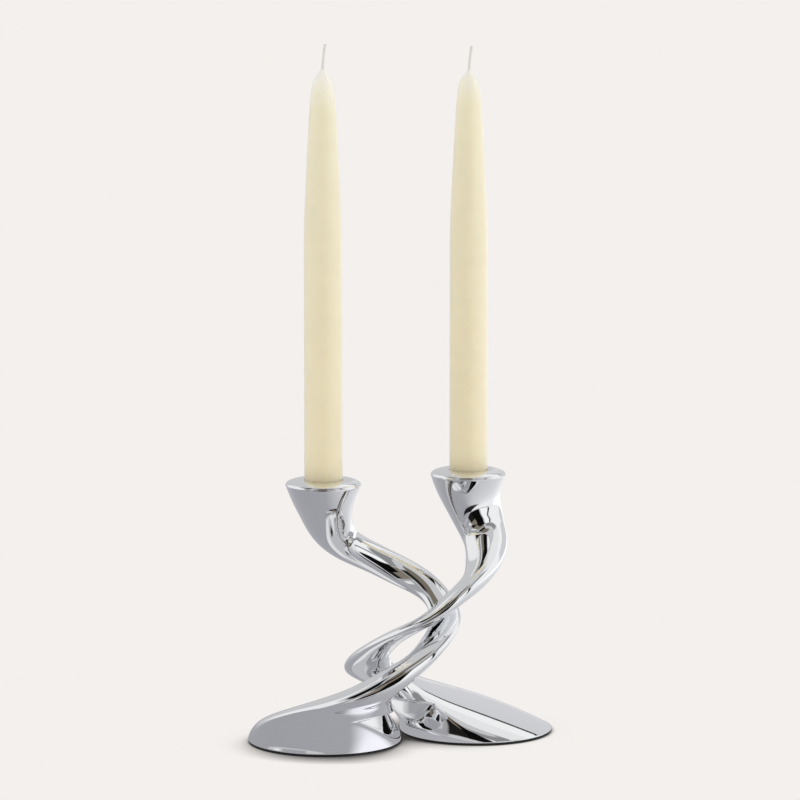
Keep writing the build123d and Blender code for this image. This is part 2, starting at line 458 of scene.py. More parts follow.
def strand_tree() -> NodeTree:
    """Build the node tree that twists strands along a line.

    Returns:
        The Geometry Nodes tree, with inputs Line, Strands, Strand sides, Strand radius, Lay radius, Pitch
        and Finish.
    """
    inputs = {"Line": "Geometry", "Strands": "Int", "Strand sides": "Int"}
    inputs |= {name: "Float" for name in ("Strand radius", "Lay radius", "Pitch")}
    tree = new_tree("Twisted strands", inputs | {"Finish": "Material"}, "Wick")
    given = add_node(tree, "NodeGroupInput").outputs
    line = add_node(tree, "GeometryNodeMeshToCurve", {}, {"Mesh": given["Line"]})
    lines = {"Geometry": line, "Amount": given["Strands"]}
    copies = add_node(tree, "GeometryNodeDuplicateElements", {"domain": "SPLINE"}, lines)
    order = copies.outputs["Duplicate Index"]
    phase = add_node(tree, MATH, {"operation": "DIVIDE"}, {0: order, 1: given["Strands"]})
    reach = add_node(tree, "GeometryNodeSplineParameter").outputs["Length"]
    turns = add_node(tree, MATH, {"operation": "DIVIDE"}, {0: reach, 1: given["Pitch"]})
    total = add_node(tree, MATH, {"operation": "ADD"}, {0: phase, 1: turns})
    angle = add_node(tree, MATH, {"operation": "MULTIPLY", 1: 2 * math.pi}, {0: total})
    cosine = add_node(tree, MATH, {"operation": "COSINE"}, {0: angle})
    sine = add_node(tree, MATH, {"operation": "SINE"}, {0: angle})
    arm = add_node(tree, "ShaderNodeCombineXYZ", {}, {"X": cosine, "Y": sine})
    step = add_node(tree, VECTOR, {"operation": "SCALE"}, {0: arm, "Scale": given["Lay radius"]})
    shift = {"Geometry": copies.outputs["Geometry"], "Offset": step}
    laid = add_node(tree, "GeometryNodeSetPosition", {}, shift)
    section = {"Resolution": given["Strand sides"], "Radius": given["Strand radius"]}
    ring = add_node(tree, "GeometryNodeCurvePrimitiveCircle", {}, section)
    sweep = {"Curve": laid, "Profile Curve": ring}
    tube = add_node(tree, "GeometryNodeCurveToMesh", {"Fill Caps": True}, sweep)
    close_tree(tree, tube, given["Finish"])
    return tree


def signed_volume(mesh: Mesh) -> float:
    """Measure the volume inside a closed mesh.

    Args:
        mesh: The mesh.

    Returns:
        The volume in cubic metres, negative where the faces point inwards.
    """
    mesh.calc_loop_triangles()
    corners = np.zeros(len(mesh.vertices) * 3)
    mesh.vertices.foreach_get("co", corners)
    corners = corners.reshape(-1, 3)
    faces = np.zeros(len(mesh.loop_triangles) * 3, int)
    mesh.loop_triangles.foreach_get("vertices", faces)
    one, two, three = corners[faces.reshape(-1, 3)].transpose(1, 0, 2)
    return float(np.einsum("ij,ij->i", one, np.cross(two, three)).sum() / 6)


def grow(mesh: Mesh, name: str, tree: NodeTree, values: dict[str, Any]) -> Object:
    """Run a node tree on a carrier mesh and keep the result as a plain mesh.

    Args:
        mesh: Carrier mesh with the tree's points and attributes.
        name: Name of the finished piece.
        tree: Geometry Nodes tree to run.
        values: Values of the tree's named inputs.

    Returns:
        The finished piece, at the origin, with no modifier left on it.
    """
    carrier = add_object(name + "_carrier", mesh)
    modifier = carrier.modifiers.new("Grow", "NODES")
    modifier.node_group = tree
    for item in tree.interface.items_tree:
        if item.item_type == "SOCKET" and item.in_out == "INPUT" and item.name in values:
            modifier[item.identifier] = values[item.name]
    bpy.context.view_layer.update()
    graph = bpy.context.evaluated_depsgraph_get()
    result = bpy.data.meshes.new_from_object(carrier.evaluated_get(graph))
    result.name = name
    carrier.modifiers.clear()
    bpy.data.objects.remove(carrier)
    if signed_volume(result) < 0:
        result.flip_normals()
    return add_object(name, result)


def oval_mesh(name: str, rows: Rows) -> Mesh:
    """Make the carrier mesh of a row of ovals.

    Args:
        name: Name of the mesh.
        rows: Oval centres and both half axes in millimetres.

    Returns:
        A mesh of loose vertices in metres, with the attributes first and second.
    """
    centres, firsts, seconds = [part * MM for part in rows]
    mesh = bpy.data.meshes.new(name)
    mesh.from_pydata([tuple(c) for c in centres], [], [])
    for key, values in (("first", firsts), ("second", seconds)):
        layer = mesh.attributes.new(key, "FLOAT_VECTOR", "POINT")
        layer.data.foreach_set("vector", np.ascontiguousarray(values, dtype=np.float32).ravel())
    return mesh


def turned_rows(profile: list[tuple[float, float]], middle: np.ndarray) -> Rows:
    """Rows of round ovals for a turned shape.

    Args:
        profile: Radius and height of each row in millimetres.
        middle: Foot of the turning axis in millimetres.

    Returns:
        Centres and both half axes in millimetres.
    """
    radii = np.array([p[0] for p in profile])
    heights = np.array([p[1] for p in profile])
    centres = middle + np.stack([0 * heights, 0 * heights, heights], 1)
    firsts = np.stack([radii, 0 * radii, 0 * radii], 1)
    seconds = np.stack([0 * radii, radii, 0 * radii], 1)
    return centres, firsts, seconds


def ramp(values: np.ndarray, start: float, end: float) -> np.ndarray:
    """Straight rise from 0 to 1 while the values go from start to end."""
    return np.clip((values - start) / (end - start), 0, 1)


def smooth_step(values: np.ndarray, start: float, end: float) -> np.ndarray:
    """Ease from 0 to 1 while the values go from start to end."""
    x = ramp(values, start, end)
    return x**3 * (x * (6 * x - 15) + 10)


@dataclass
class Spline:
    """Smooth cubic curve through points, with its ends aimed by the first and last four."""

    knots: np.ndarray
    points: np.ndarray

    def slopes(self) -> np.ndarray:
        """Work out the curve's slope at each point.

        Returns:
            The derivative at each point.
        """
        knots, points = self.knots, self.points
        count = len(knots)
        step = np.diff(knots)
        matrix = np.zeros((count, count))
        right = np.zeros_like(points)
        for i in range(1, count - 1):
            matrix[i, i - 1 : i + 2] = [step[i], 2 * (step[i - 1] + step[i]), step[i - 1]]
            before = (points[i] - points[i - 1]) / step[i - 1]
            after = (points[i + 1] - points[i]) / step[i]
            right[i] = 3 * (step[i] * before + step[i - 1] * after)
        for row, pick in ((0, slice(0, 4)), (count - 1, slice(count - 4, count))):
            cubic = np.polyfit(knots[pick] - knots[row], points[pick], 3)
            matrix[row, row] = 1.0
            right[row] = cubic[2]
        return np.linalg.solve(matrix, right)

    def at(self, where: np.ndarray) -> tuple[np.ndarray, np.ndarray]:
        """Follow the curve.

        Args:
            where: Parameters to look at.

        Returns:
            Positions and derivatives.
        """
        knots, points, slopes = self.knots, self.points, self.slopes()
        span = np.clip(np.searchsorted(knots, where, side="right") - 1, 0, len(knots) - 2)
        width = (knots[span + 1] - knots[span])[:, None]
        x = (where - knots[span])[:, None] / width
        start, end = points[span], points[span + 1]
        leave, arrive = slopes[span] * width, slopes[span + 1] * width
        spot = (2 * x**3 - 3 * x**2 + 1) * start + (x**3 - 2 * x**2 + x) * leave
        spot = spot + (3 * x**2 - 2 * x**3) * end + (x**3 - x**2) * arrive
        rate = (6 * x**2 - 6 * x) * (start - end) + (3 * x**2 - 4 * x + 1) * leave
        rate = rate + (3 * x**2 - 2 * x) * arrive
        return spot, rate / width


@dataclass
class Placement:
    """Where one candlestick stands: its foot on the table and its turn about the vertical."""

    foot: tuple[float, float]
    turn: float
    pad_thickness: float = 1.5

    def turn_only(self, vectors: np.ndarray) -> np.ndarray:
        """Turn directions or arms about the vertical.

        Args:
            vectors: Directions or arms, one row each.

        Returns:
            The turned rows.
        """
        angle = math.radians(self.turn)
        c, s = math.cos(angle), math.sin(angle)
        return vectors @ np.array([[c, s, 0], [-s, c, 0], [0, 0, 1]])

    def stand(self, points: np.ndarray) -> np.ndarray:
        """Carry points of a casting to where it stands on its pad."""
        return self.turn_only(points) + np.array([self.foot[0], self.foot[1], self.pad_thickness])


@dataclass
class Casting:
    """One candlestick body: round foot, spiral stem and flared cup in a single pour.

    The sizes and listed points are those of the solid model, in millimetres and degrees. A share is one of
    the rim height, unless its name says otherwise.
    """

    foot_radius: float = 44.5
    foot_gap: float = 4.1
    stem_half_width: float = 9.0
    stem_half_thickness: float = 3.7
    rim_height: float = 150.3
    rim_radius: float = 22.0
    # Where the foot's swelling ends and the cup's begins, in width and in thickness.
    foot_width_share: float = 0.375
    foot_width_power: float = 0.89
    foot_thickness_share: float = 0.535
    foot_thickness_power: float = 2.5
    cup_width_share: float = 0.589
    cup_thickness_share: float = 0.522
    flare_power: float = 1.3
    flick_power: float = 8.0
    width_flick: float = 0.05
    thickness_flick: float = 0.14
    # Sections lie flat at the foot, stand square to the stem, and lie flat again at the rim.
    tip_shares: tuple[float, float] = (0.127, 0.495)
    level_shares: tuple[float, float] = (0.742, 0.916)
    # Above hold_share the heading stays. The foot is swung by foot_aim, the stem rolled at roll_share.
    hold_share: float = 0.789
    foot_aim: float = 17.5
    roll: float = -30.5
    roll_share: float = 0.642
    roll_spread: float = 0.07
    ledge_rise: float = 3.0
    socket_radius: float = 11.35
    socket_depth: float = 16.6
    mouth_lip: float = 0.8
    # Inset and rise of the rim's broken edge, its crown's start, and the mouth's rolled lip.
    rim_edge: Pairs = ((0.05, 0.1), (0.18, 0.2))
    crown_start: tuple[float, float] = (0.3, 0.28)
    crown_angles: tuple[float, float] = (6.0, 86.0)
    crown_rows: int = 22
    lip_roll: Pairs = ((0.0, 0.0), (0.3, 0.0), (0.6, -0.08), (0.75, -0.25))
    bore_ring: float = 4.0
    seat_edge: float = 0.3
    seat_ring: float = 5.0
    # Inset from the foot's edge and lift of the rings that close the underside.
    under: Pairs = ((26.0, 0.0), (0.5, 0.0), (0.2, 0.05), (0.05, 0.15))
    first_lift: float = 0.3
    # The heel is the leaning round wall that cuts the foot's inner side back under an overhang.
    heel_radius: float = 80.0
    heel_height: float = 21.0
    heel_tuck: float = 6.0
    heel_margin: float = 0.7
    heel_softness: float = 3.0
    heel_bearing: float = 0.0
    overhang: float = 3.5
    rows: int = 300
    fine_steps: int = 40
    sides: int = 144
    loop_share_of_spacing: float = 0.322
    loop_start: float = 142.0
    # Turn from the loop's start, reach in loop radii and height as a share, along the spiral.
    hand_points: tuple[tuple[float, float, float], ...] = (
        (0, 1.53, 0.0),
        (20, 1.18, 0.084),
        (52, 1.0, 0.15),
        (83, 1.0, 0.207),
        (107.5, 1.03, 0.251),
        (132.5, 1.03, 0.308),
        (161.5, 1.0, 0.368),
        (192, 1.02, 0.435),
        (225.5, 1.13, 0.508),
        (263, 1.1, 0.599),
        (297.5, 1.12, 0.656),
        (321.5, 1.22, 0.702),
        (344.5, 1.42, 0.766),
        (360.5, 1.47, 0.87),
        (365, 1.45, 1.0),
    )

    def centre_line(self) -> tuple[np.ndarray, np.ndarray]:
        """Points and directions evenly along the centre line, seen from the middle of the foot.

        Returns:
            Points in millimetres and unit directions.
        """
        loop = self.loop_share_of_spacing * (2 * self.foot_radius + self.foot_gap)
        turn = np.radians([self.loop_start + p[0] for p in self.hand_points])
        reach = loop * np.array([p[1] for p in self.hand_points])
        lift = self.rim_height * np.array([p[2] for p in self.hand_points])
        points = np.stack([reach * np.cos(turn), reach * np.sin(turn), lift], 1)
        points[:, :2] -= points[0, :2]
        knots = np.concatenate([[0], np.cumsum(np.linalg.norm(np.diff(points, axis=0), axis=1))])
        line = Spline(knots, points)
        fine = np.linspace(0, knots[-1], self.fine_steps * self.rows + 1)
        dense = line.at(fine)[0]
        length = np.concatenate([[0], np.cumsum(np.linalg.norm(np.diff(dense, axis=0), axis=1))])
        even = np.interp(np.linspace(0, length[-1], self.rows + 1), length, fine)
        spots, along = line.at(even)
        return spots, along / np.linalg.norm(along, axis=1)[:, None]

    def swell(self, stem: float, foot: np.ndarray, flare: np.ndarray, flick: float) -> np.ndarray:
        """One half axis along the stem, swelling into the foot and the cup.

        Args:
            stem: Half axis of the bare stem in millimetres.
            foot: How far each section belongs to the foot, from 0 to 1.
            flare: How far up the cup each section lies, from 0 to 1.
            flick: Share of the cup's flare that comes in a sharp flick at the rim.

        Returns:
            The half axis of each section in millimetres.
        """
        cup = (1 - flick) * flare**self.flare_power + flick * flare**self.flick_power
        return stem + (self.foot_radius - stem) * foot + (self.rim_radius - stem) * cup

    def half_axes(self, level: np.ndarray) -> tuple[np.ndarray, np.ndarray]:
        """Half width and half thickness of the stem's sections.

        Args:
            level: Heights as shares of the rim height.

        Returns:
            Both half axes of each section in millimetres.
        """
        foot = ((1 + np.cos(np.pi * ramp(level, 0.0, self.foot_width_share))) / 2) ** self.foot_width_power
        flare = ramp(level, self.cup_width_share, 1.0)
        wide = self.swell(self.stem_half_width, foot, flare, self.width_flick)
        foot = (1 - ramp(level, 0.0, self.foot_thickness_share)) ** self.foot_thickness_power
        flare = ramp(level, self.cup_thickness_share, 1.0)
        thick = self.swell(self.stem_half_thickness, foot, flare, self.thickness_flick)
        return wide, thick

    def stem_rows(self) -> Rows:
        """Ovals along the stem: flat at the foot and rim, square to the stem between them.

        Returns:
            Centres and both half axes in millimetres, with the seam carried along without twist.
        """
        spots, along = self.centre_line()
        level = np.clip(spots[:, 2] / self.rim_height, 0, 1)
        heading = np.unwrap(np.arctan2(along[:, 1], along[:, 0]))
        still = level >= self.hold_share
        heading[still] = heading[~still][-1]
        tipped = smooth_step(level, *self.tip_shares)
        follow = tipped * (1 - smooth_step(level, *self.level_shares))
        climb = np.arcsin(np.clip(along[:, 2], -1, 1)) * follow + math.pi / 2 * (1 - follow)
        aim = heading - math.radians(self.foot_aim) * (1 - tipped)
        normal = np.stack([np.cos(climb) * np.cos(aim), np.cos(climb) * np.sin(aim), np.sin(climb)], 1)
        across = np.stack([np.sin(aim), -np.cos(aim), 0 * aim], 1)
        over = np.cross(normal, across)
        rolled = self.roll * np.exp(-(((level - self.roll_share) / self.roll_spread) ** 2))
        c, s = np.cos(np.radians(rolled))[:, None], np.sin(np.radians(rolled))[:, None]
        across, over = across * c + over * s, over * c - across * s
        wide, thick = self.half_axes(level)
        firsts, seconds = np.zeros_like(spots), np.zeros_like(spots)
        seam = np.array([1.0, 0.0, 0.0])
        for i, facing in enumerate(normal):
            seam = seam - facing * seam.dot(facing)
            seam = seam / np.linalg.norm(seam)
            start = math.atan2(seam.dot(over[i]) * wide[i], seam.dot(across[i]) * thick[i])
            long_axis, short_axis = wide[i] * across[i], thick[i] * over[i]
            firsts[i] = long_axis * math.cos(start) + short_axis * math.sin(start)
            seconds[i] = short_axis * math.cos(start) - long_axis * math.sin(start)
        return spots, firsts, seconds

    def cup_profile(self) -> list[tuple[float, float]]:
        """Draw the rim's edge, the crowned ledge, the mouth and the socket.

        Returns:
            Radius and height of each row in millimetres.
        """
        top, bore = self.rim_height, self.socket_radius
        lip = bore + self.mouth_lip
        mouth = top + self.ledge_rise
        floor = mouth - self.socket_depth
        inset, rise = self.crown_start
        crown = self.rim_radius - inset
        profile = [(self.rim_radius - i, top + r) for i, r in self.rim_edge]
        for x in np.sin(np.radians(np.linspace(*self.crown_angles, self.crown_rows))):
            drawn_in = (crown - lip) * (1 - math.sqrt(1 - x * x))
            profile.append((crown - drawn_in, top + rise + (self.ledge_rise - rise) * x))
        profile += [(lip - i, mouth + r) for i, r in self.lip_roll]
        bore_heights = (mouth - self.mouth_lip, mouth - self.bore_ring, floor + self.seat_edge)
        profile += [(bore, z) for z in bore_heights]
        return profile + [(bore - self.seat_edge, floor), (self.seat_ring, floor), (0.0, floor)]

    def build(self, side: Side, place: Placement, skin: NodeTree, finish: Material) -> Object:
        """Build the casting of one side.

        Args:
            side: Which candlestick it is.
            place: Where that candlestick stands.
            skin: Tree that skins rows of ovals.
            finish: Mirror finish.

        Returns:
            The finished piece.
        """
        spots, firsts, seconds = self.stem_rows()
        start = int(np.searchsorted(spots[:, 2], self.first_lift))
        under = ((self.foot_radius, 0.0), *self.under)
        low_centres = np.array([[spots[0][0], spots[0][1], lift] for _, lift in under])
        sizes = np.array([1 - inset / self.foot_radius for inset, _ in under])[:, None]
        cup_centres, cup_firsts, cup_seconds = turned_rows(self.cup_profile(), spots[-1] * [1, 1, 0])
        swing = math.atan2(firsts[-1][1], firsts[-1][0])
        c, s = math.cos(swing), math.sin(swing)
        turn = np.array([[c, s, 0], [-s, c, 0], [0, 0, 1]])
        if np.cross(firsts[-1], seconds[-1])[2] < 0:
            cup_seconds = -cup_seconds
        rows = (
            place.stand(np.concatenate([low_centres, spots[start:], cup_centres])),
            place.turn_only(np.concatenate([firsts[0] * sizes, firsts[start:], cup_firsts @ turn])),
            place.turn_only(np.concatenate([seconds[0] * sizes, seconds[start:], cup_seconds @ turn])),
        )
        heel = math.radians(self.heel_bearing)
        facing = np.array([[math.cos(heel), math.sin(heel), 0.0]])
        back = self.heel_radius - self.foot_radius - self.heel_margin
        values = {
            "Sides": self.sides,
            "Heel middle": tuple(place.stand(facing * -back)[0] * MM),
            "Heel lean": tuple(place.turn_only(facing * -self.heel_tuck / self.heel_height)[0]),
            "Heel radius": self.heel_radius * MM,
            "Heel height": self.heel_height * MM,
            "Heel softness": self.heel_softness * MM,
            "Overhang": self.overhang,
            "Finish": finish,
        }
        mesh = oval_mesh(f"{side.value}_casting_rows", rows)
        return grow(mesh, f"{side.value}_spiral_casting", skin, values)


@dataclass
class TurnedPiece:
    """A round piece that is made by turning its outline."""

    name: str
    sides: int

    def profile(self) -> list[tuple[float, float]]:
        """Draw the outline: radius and height of each row in millimetres."""
        raise NotImplementedError

    def build(self, side: Side, middle: np.ndarray, skin: NodeTree, finish: Material) -> Object:
        """Build the piece of one side.

        Args:
            side: Which candlestick it is.
            middle: Foot of the turning axis in millimetres.
            skin: Tree that skins rows of ovals.
            finish: What the piece is made of.

        Returns:
            The finished piece.
        """
        name = f"{side.value}_{self.name}"
        mesh = oval_mesh(name + "_rows", turned_rows(self.profile(), middle))
        return grow(mesh, name, skin, {"Sides": self.sides, "Heel radius": NO_HEEL, "Finish": finish})


@dataclass
class FootPad(TurnedPiece):
    """Round rubber pad glued under the foot, with a softly broken edge."""

    name: str = "rubber_pad"
    sides: int = 160
    radius: float = 43.7
    thickness: float = 1.5
    edge: float = 0.25
    corner_share: float = 0.3
    ring_share: float = 0.6

    def profile(self) -> list[tuple[float, float]]:
        """Draw the pad's outline.

        Returns:
            Radius and height of each row in millimetres.
        """
        radius, edge, corner = self.radius, self.edge, self.corner_share * self.edge
        under = [(0, 0), (radius * self.ring_share, 0), (radius - 2 * edge, 0), (radius - edge, 0)]
        under += [(radius - corner, corner), (radius, edge)]
        return under + [(r, self.thickness - z) for r, z in reversed(under)]


@dataclass
class Candle(TurnedPiece):
    """Dinner candle: straight below, a long taper above, and a low cone at the tip."""

    name: str = "dinner_candle"
    sides: int = 96
    radius: float = 11.0
    length: float = 254.0
    taper: float = 105.0
    ring_share: float = 0.6
    # Inset and height of the rounded lower edge.
    lower_edge: Pairs = ((0.5, 0.0), (0.1, 0.15), (0.0, 0.6))
    straight_start: float = 8.0
    straight_rows: int = 20
    # Depth below the tip and radius, up the taper.
    taper_points: Pairs = (
        (88, 10.75),
        (75, 10.25),
        (62, 9.65),
        (48, 8.95),
        (33, 8.15),
        (22, 7.45),
        (12, 6.4),
        (8.5, 5.8),
    )
    taper_rows: int = 60
    # Depth below the tip and radius, up the cone.
    cone: Pairs = (
        (6.9, 5.3),
        (5.9, 4.75),
        (4.7, 4.0),
        (3.4, 3.1),
        (2.1, 2.2),
        (1.0, 1.6),
        (0.35, 1.1),
        (0.0, 0.8),
        (0.0, 0.0),
    )

    def profile(self) -> list[tuple[float, float]]:
        """Draw the candle's outline.

        Returns:
            Radius and height of each row in millimetres.
        """
        radius, top = self.radius, self.length
        lines = [(0, 0), (radius * self.ring_share, 0)]
        lines += [(radius - inset, z) for inset, z in self.lower_edge]
        straight = np.linspace(self.straight_start, top - self.taper, self.straight_rows)
        lines += [(radius, z) for z in straight]
        drawn = np.array([(self.taper, radius), *self.taper_points])
        fine = np.linspace(-drawn[0, 0], -drawn[-1, 0], self.taper_rows)[1:]
        radii = Spline(-drawn[:, 0], drawn[:, 1:]).at(fine)[0][:, 0]
        lines += [(float(r), top + float(z)) for r, z in zip(radii, fine)]
        return lines + [(r, top - depth) for depth, r in self.cone]


@dataclass
class Wick:
    """Wick of twisted strands that leans a little to the right."""

    strands: int = 3
    strand_sides: int = 10
    strand_radius: float = 0.45
    lay_radius: float = 0.4
    pitch: float = 3.4
    free_length: float = 13.4
    root: float = 4.0
    lean: float = 1.4
    lean_power: float = 1.5
    rows: int = 60

    def build(self, side: Side, tip: np.ndarray, tree: NodeTree, finish: Material) -> Object:
        """Build the free end of the wick of one side.

        Args:
            side: Which candlestick it is.
            tip: Top of the wax in millimetres.
            tree: Tree that twists strands.
            finish: Cotton.

        Returns:
            The finished piece.
        """
        height = -self.root + np.linspace(0, 1, self.rows) * (self.root + self.free_length)
        bend = self.lean * np.clip(height / self.free_length, 0, 1) ** self.lean_power
        points = tip + np.stack([bend, 0 * bend, height], 1)
        mesh = bpy.data.meshes.new(f"{side.value}_wick_line")
        edges = [(i, i + 1) for i in range(self.rows - 1)]
        mesh.from_pydata([tuple(p * MM) for p in points], edges, [])
        values = {
            "Strands": self.strands,
            "Strand sides": self.strand_sides,
            "Strand radius": self.strand_radius * MM,
            "Lay radius": self.lay_radius * MM,
            "Pitch": self.pitch * MM,
            "Finish": finish,
        }
        return grow(mesh, f"{side.value}_cotton_wick", tree, values)


@dataclass
class Candlestick:
    """One candlestick with its pad, candle and wick."""

    side: Side
    place: Placement
    casting: Casting = field(default_factory=Casting)
    pad: FootPad = field(default_factory=FootPad)
    candle: Candle = field(default_factory=Candle)
    wick: Wick = field(default_factory=Wick)

    def socket_middle(self) -> np.ndarray:
        """Find the middle of the socket's floor.

        Returns:
            The point in millimetres.
        """
        rim = self.casting.centre_line()[0][-1]
        floor = self.casting.rim_height + self.casting.ledge_rise - self.casting.socket_depth
        return self.place.stand(np.array([[rim[0], rim[1], floor]]))[0]

    def build(self, trees: dict[str, NodeTree], finishes: dict[str, Material]) -> list[Object]:
        """Build every piece and hang it on its body.

        Args:
            trees: The skin and strand trees.
            finishes: The materials by name.

        Returns:
            The finished pieces.
        """
        side, place, skin = self.side, self.place, trees["skin"]
        name = side.value
        foot = np.array([*place.foot, 0.0])
        middle = self.socket_middle()
        tip = middle + np.array([0, 0, self.candle.length])
        pieces = [
            (self.casting.build(side, place, skin, finishes["metal"]), "casting", "polished_metal"),
            (self.pad.build(side, foot, skin, finishes["rubber"]), "foot_pad", "pad"),
            (self.candle.build(side, middle, skin, finishes["wax"]), "candle", "wax"),
            (self.wick.build(side, tip, trees["strand"], finishes["cotton"]), "wick", "cotton"),
        ]
        for piece, node, slot in pieces:
            body = f"{name}_candlestick" if node in ("casting", "foot_pad") else f"{name}_taper"
            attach(piece, body)
            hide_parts(f"{name}_{node}")
        return [piece for piece, _, _ in pieces]


@dataclass(frozen=True)
class Card:
    """A curved studio card that only reflections see: a soft box where pale, a flag where dark.

    Its edges are bearings from the candlesticks in degrees: 0 is the camera, 90 the right-hand side.
    """

    name: str
    west: float
    east: float
    low: float
    high: float
    shade: str
    fade: float = 0.06
    lean: float = 0.0
    distance: float = 5.0


@dataclass(frozen=True)
class Lamp:
    """A large soft lamp that models the wax."""

    name: str
    across: float
    watts: float


@dataclass
class Studio:
    """Floor, soft light, cards and the camera of the product shot."""

    backdrop: str = "#F4F0ED"
    aim: tuple[float, float, float] = (0.0, 0.0, 0.1)
    floor_half: float = 60.0
    # How near the contact shadow reaches, and how dark it gets.
    contact_reach: float = 0.022
    contact_samples: int = 16
    contact_range: tuple[float, float] = (0.3, 0.95)
    contact_dark: float = 0.04
    # The table as reflections see it is a glow of painted light: its tones from left to right, brighter
    # behind, dark far in front.
    table_sides: tuple[float, float] = (-0.1, 0.7)
    table_behind: tuple[float, float] = (-0.05, 0.5)
    behind_gain: float = 1.35
    table_front: tuple[float, float] = (-0.56, -0.44)
    front_dark: float = 0.03
    table_flank: tuple[float, float] = (0.34, 0.46)
    # A bright patch by the left foot, which stands in for light that the right one throws back.
    thrown_spot: tuple[float, float, float] = (-0.016, -0.03, 0.0)
    thrown_reach: tuple[float, float] = (0.01, 0.022)
    thrown_gain: float = 1.5
    room_strength: float = 1.16
    room_grey: str = "#CCCCCE"
    lamps: tuple[Lamp, ...] = (Lamp("Soft key", 1.6, 4.0), Lamp("Soft fill", -1.6, 2.0))
    lamp_size: tuple[float, float] = (1.2, 1.6)
    lamp_front: float = -0.9
    lamp_height: float = 0.9
    lamp_aim: tuple[float, float, float] = (0.0, 0.0, 0.25)
    card_columns: int = 24
    card_rows: int = 12
    camera_spot: tuple[float, float, float] = (-0.0003, -3.4059, 0.7427)
    camera_dip: float = 9.05
    lens_mm: float = 270.0
    sensor_mm: float = 36.0
    clip_end: float = 200.0
    cards: tuple[Card, ...] = (
        Card("Soft box left", -147, -68, 1, 50, "#F4F4F4"),
        Card("Flag over left", -124, -62, 52, 73, "#0B0B0B", fade=0.12),
        Card("Grey wall front left", -68, -26, 0, 60, "#A6A6A9", fade=0.1, distance=6.0),
        Card("Window front left", -45, -33, 15, 48, "#E6E6E4", fade=0.1),
        Card("Dim front", -28, 8, 3, 27, "#1D1B19", fade=0.12, distance=0.63),
        Card("Brown wall front", -30, 30, 18, 62, "#847B70", fade=0.1, distance=0.64),
        Card("Dark room", -2, 38, 3, 49, "#0A0A0A", fade=0.1, distance=0.62),
        Card("Soft box front right", 36, 63, 3, 46, "#FFFFFF", fade=0.03),
        Card("Gap between boxes", 63, 69, 1, 50, "#181818", fade=0.15, lean=-12, distance=3.0),
        Card("White wall right", 69, 178, 0, 46, "#FAFAFA", fade=0.04),
        Card("White wall right high", 105, 178, 42, 66, "#EFEFEF", fade=0.1),
        Card("Grey wall behind", 122, 178, 0, 32, "#D6D6D9", fade=0.08, distance=4.5),
        Card("Seam behind", 132, 177, 29.8, 33.2, "#202020", fade=0.3, distance=4.0),
        Card("Grey rail right", 28, 108, 47, 62, "#8F8F90", fade=0.1),
        Card("Dark ceiling", -62, 24, 61, 75, "#26261F", fade=0.12),
        Card("Brown ceiling", -85, 85, 73, 90, "#7A7166", fade=0.1, distance=5.5),
    )

    def build(self) -> None:
        """Set up the whole studio."""
        self.floor()
        self.world()
        self.light()
        for card in self.cards:
            self.hang(card)
        self.camera()

    def painted_table_light(self, tree: NodeTree) -> Node:
        """Make the dim table that reflections see, a glow of painted light which brightens to the right.

        Args:
            tree: Node tree of the floor's material.

        Returns:
            The node that glows in the table's tones.
        """
        place = add_node(tree, "ShaderNodeTexCoord").outputs["Object"]
        split = add_node(tree, "ShaderNodeSeparateXYZ", {}, {"Vector": place}).outputs
        aside = add_node(tree, MATH, {"operation": "ABSOLUTE"}, {0: split["X"]})
        spot = {"operation": "DISTANCE", 1: self.thrown_spot}
        off = add_node(tree, VECTOR, spot, {0: place}).outputs["Value"]
        behind, front, flank, thrown = [
            add_node(
                tree,
                RANGE,
                {
                    "interpolation_type": "SMOOTHSTEP",
                    "From Min": span[0],
                    "From Max": span[1],
                    "To Min": low,
                    "To Max": high,
                },
                {"Value": source},
            )
            for source, span, low, high in (
                (split["Y"], self.table_behind, 1.0, self.behind_gain),
                (split["Y"], self.table_front, self.front_dark, 1.0),
                (aside, self.table_flank, 0.0, 1.0),
                (off, self.thrown_reach, self.thrown_gain, 0.0),
            )
        ]
        open_floor = add_node(tree, MATH, {"operation": "MAXIMUM"}, {0: front, 1: flank})
        lit = add_node(tree, MATH, {"operation": "MULTIPLY"}, {0: behind, 1: open_floor})
        bright = add_node(tree, MATH, {"operation": "ADD"}, {0: lit, 1: thrown})
        west, east = self.table_sides
        right = add_node(tree, RANGE, {"From Min": west, "From Max": east}, {"Value": split["X"]})
        table = add_node(tree, "ShaderNodeValToRGB", {}, {"Fac": right})
        # These tones are painted light, from a dim grey on the left to near white on the right.
        stops = {0.0: "#A5A5AA", 1.0: "#F8F8FA", 0.1: "#A8A8AD", 0.2: "#BEBEC2"}
        set_stops(table, stops | {0.3: "#CFCFD3", 0.5: "#DDDDE0"})
        return add_node(tree, "ShaderNodeEmission", {}, {"Color": table, "Strength": bright})

    def floor(self) -> None:
        """Lay the pale sweep, with a soft shadow where the feet meet it."""
        material, tree = new_material("Pale studio sweep")
        path = add_node(tree, "ShaderNodeLightPath")
        reach = {"Distance": self.contact_reach, "samples": self.contact_samples}
        close = add_node(tree, "ShaderNodeAmbientOcclusion", reach)
        hollow_shade, clear = self.contact_range
        contact = add_node(
            tree,
            RANGE,
            {"From Min": hollow_shade, "From Max": clear, "To Min": self.contact_dark, "To Max": 1.0},
            {"Value": close.outputs["AO"]},
        )
        pale = add_node(tree, "ShaderNodeEmission", {"Color": linear(self.backdrop)}, {"Strength": contact})
        seen = {0: path.outputs["Is Glossy Ray"], 1: pale, 2: self.painted_table_light(tree)}
        mixed = add_node(tree, "ShaderNodeMixShader", {}, seen)
        add_node(tree, "ShaderNodeOutputMaterial", {}, {"Surface": mixed})
        mesh = bpy.data.meshes.new("studio_floor")
        half = self.floor_half
